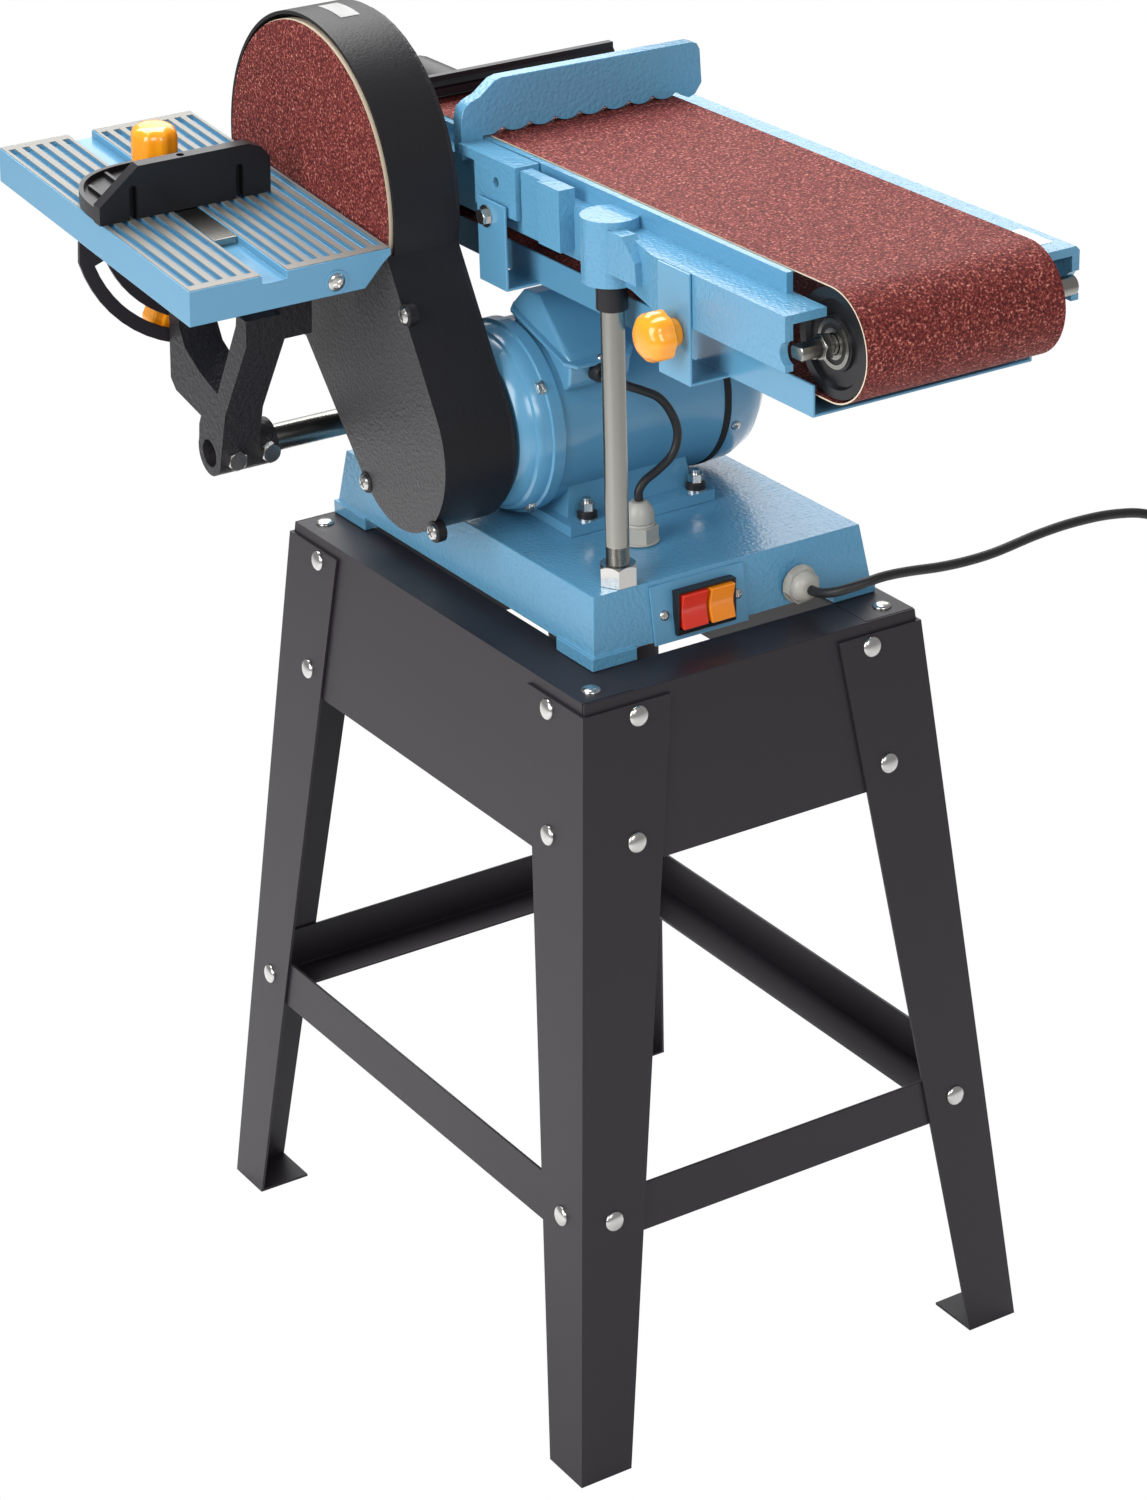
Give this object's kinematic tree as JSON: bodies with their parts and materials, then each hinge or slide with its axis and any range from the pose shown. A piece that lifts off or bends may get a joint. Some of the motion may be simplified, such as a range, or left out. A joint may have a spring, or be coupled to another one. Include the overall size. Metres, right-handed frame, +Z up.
{
  "type": "belt and disc sander",
  "caption": "Belt and disc sander on a splayed sheet-steel stand, with a tilting belt arm, a tilting disc table, a mitre gauge and a mains lead.",
  "frame": {"origin": "middle of the bounding box's underside, on the floor between the feet, with the free mains lead left out", "axes": "+Z up, +X from the sanding disc to the motor's fan, -Y to the front, where the switch and the belt's idler end are"},
  "size_m": [0.788, 0.6959, 0.9633],
  "materials": {
    "black_steel_paint": "satin powder coat",
    "blue_hammered_paint": "glossy hammered enamel",
    "black_textured_cover": "leather-grained satin black",
    "black_iron_paint": "black paint over rough castings",
    "bright_steel": "ground and turned steel",
    "bare_aluminium": "machined",
    "black_plastic": "moulded",
    "drum_black": "black anodised drum",
    "orange_plastic": "glossy moulded",
    "red_plastic": "glossy moulded",
    "grey_plastic": "moulded nylon",
    "abrasive": "aluminium oxide grit on cloth",
    "black_rubber": "smooth"
  },
  "bodies": {
    "root": {"leg_front_left": "black_steel_paint", "leg_front_right": "black_steel_paint", "leg_rear_left": "black_steel_paint", "leg_rear_right": "black_steel_paint", "apron_front": "black_steel_paint", "apron_rear": "black_steel_paint", "apron_left": "black_steel_paint", "apron_right": "black_steel_paint", "stretcher_front": "black_steel_paint", "stretcher_rear": "black_steel_paint", "stretcher_left": "black_steel_paint", "stretcher_right": "black_steel_paint", "base_casting": "blue_hammered_paint", "switch_plate": "blue_hammered_paint", "cord_gland": "grey_plastic", "motor_gland": "grey_plastic", "motor_body": "blue_hammered_paint", "motor_end_bell": "blue_hammered_paint", "fan_cover": "blue_hammered_paint", "terminal_box": "blue_hammered_paint", "motor_lead": "black_rubber", "pulley_cover": "black_textured_cover", "spindle_housing": "black_iron_paint", "drive_belt": "black_rubber", "support_post": "bright_steel", "post_nut": "bright_steel", "post_bush": "black_plastic", "rod_pedestal": "black_iron_paint", "mains_cord": "black_rubber", "mains_coil": "black_rubber", "plug": "black_rubber"},
    "rocker": {"rocker_switch": "red_plastic"},
    "key": {"safety_key": "orange_plastic"},
    "rotor": {"motor_rotor": "bright_steel", "motor_pulley": "bare_aluminium"},
    "spindle": {"main_shaft": "bright_steel", "driven_pulley": "bare_aluminium", "drive_drum": "drum_black", "disc_plate": "bare_aluminium", "abrasive_disc": "abrasive"},
    "arm": {"left_rail": "blue_hammered_paint", "right_channel": "blue_hammered_paint", "platen": "bare_aluminium", "belt_tray": "blue_hammered_paint", "rear_cover": "black_plastic", "stop_fence": "blue_hammered_paint", "sanding_belt": "abrasive"},
    "carriage": {"idler_axle": "bright_steel"},
    "idler": {"idler_drum": "drum_black"},
    "tracking": {"tracking_knob": "orange_plastic"},
    "tray_screw": {"tray_knob": "orange_plastic"},
    "rod": {"table_rod": "bright_steel"},
    "bracket": {"table_bracket": "black_iron_paint"},
    "table": {"disc_table": "blue_hammered_paint", "trunnion": "black_steel_paint", "pivot_tab": "black_steel_paint"},
    "lock_screw": {"lock_knob": "orange_plastic"},
    "miter_slide": {"miter_bar": "bright_steel"},
    "miter_head_turn": {"miter_head": "black_plastic"},
    "miter_knob_turn": {"miter_knob": "orange_plastic"}
  },
  "joints": [
    {"name": "rocker_press", "type": "hinge", "parent": "root", "child": "rocker", "pos_m": [0.03025, -0.10919, 0.5975], "axis": [0, 0, 1], "range_deg": [-5, 5]},
    {"name": "key_pull", "type": "slide", "parent": "root", "child": "key", "axis": [0, -1, 0], "range_m": [0, 0.016]},
    {"name": "spindle_spin", "type": "hinge", "parent": "root", "child": "spindle", "pos_m": [0.0535, 0.1785, 0.847], "axis": [1, 0, 0], "continuous": true},
    {"name": "rotor_spin", "type": "hinge", "parent": "root", "child": "rotor", "pos_m": [0.0535, 0.0575, 0.692], "axis": [1, 0, 0], "continuous": true},
    {"name": "arm_tilt", "type": "hinge", "parent": "root", "child": "arm", "pos_m": [0.0535, 0.1785, 0.847], "axis": [-1, 0, 0], "range_deg": [0, 90]},
    {"name": "belt_tension", "type": "slide", "parent": "arm", "child": "carriage", "axis": [0, 1, 0], "range_m": [0, 0.006], "stiffness_N_per_m": 4000, "springref_m": -0.006},
    {"name": "idler_spin", "type": "hinge", "parent": "carriage", "child": "idler", "pos_m": [0.0535, -0.3105, 0.847], "axis": [1, 0, 0], "continuous": true},
    {"name": "tracking_turn", "type": "hinge", "parent": "arm", "child": "tracking", "pos_m": [0.1995, -0.1025, 0.8405], "axis": [1, 0, 0], "range_deg": [-360, 360]},
    {"name": "tray_knob_turn", "type": "hinge", "parent": "arm", "child": "tray_screw", "pos_m": [-0.028, -0.1925, 0.829], "axis": [-1, 0, 0], "range_deg": [-360, 0]},
    {"name": "rod_slide", "type": "slide", "parent": "root", "child": "rod", "axis": [1, 0, 0], "range_m": [-0.02, 0]},
    {"name": "bracket_swing", "type": "hinge", "parent": "rod", "child": "bracket", "pos_m": [0.0535, 0.1985, 0.656], "axis": [1, 0, 0], "range_deg": [-6, 12]},
    {"name": "table_tilt", "type": "hinge", "parent": "bracket", "child": "table", "pos_m": [-0.1265, 0.1822, 0.8222], "axis": [0, -0.9952, -0.0976], "range_deg": [0, 30]},
    {"name": "lock_knob_turn", "type": "hinge", "parent": "bracket", "child": "lock_screw", "pos_m": [-0.16019, 0.25095, 0.73594], "axis": [0, 0.9952, 0.0976], "range_deg": [-360, 0]},
    {"name": "miter_slide_along", "type": "slide", "parent": "table", "child": "miter_slide", "axis": [0, 0.9952, 0.0976], "range_m": [-0.06, 0.065]},
    {"name": "miter_swivel", "type": "hinge", "parent": "miter_slide", "child": "miter_head_turn", "pos_m": [-0.181, 0.22799, 0.84709], "axis": [0, -0.0976, 0.9952], "range_deg": [-60, 60]},
    {"name": "miter_knob_turning", "type": "hinge", "parent": "miter_head_turn", "child": "miter_knob_turn", "pos_m": [-0.181, 0.22799, 0.84709], "axis": [0, -0.0976, 0.9952], "range_deg": [-360, 0]}
  ],
  "couplings": [
    {"joint": "rotor_spin", "follows": "spindle_spin", "ratio": 1.25},
    {"joint": "idler_spin", "follows": "spindle_spin", "ratio": 1}
  ]
}
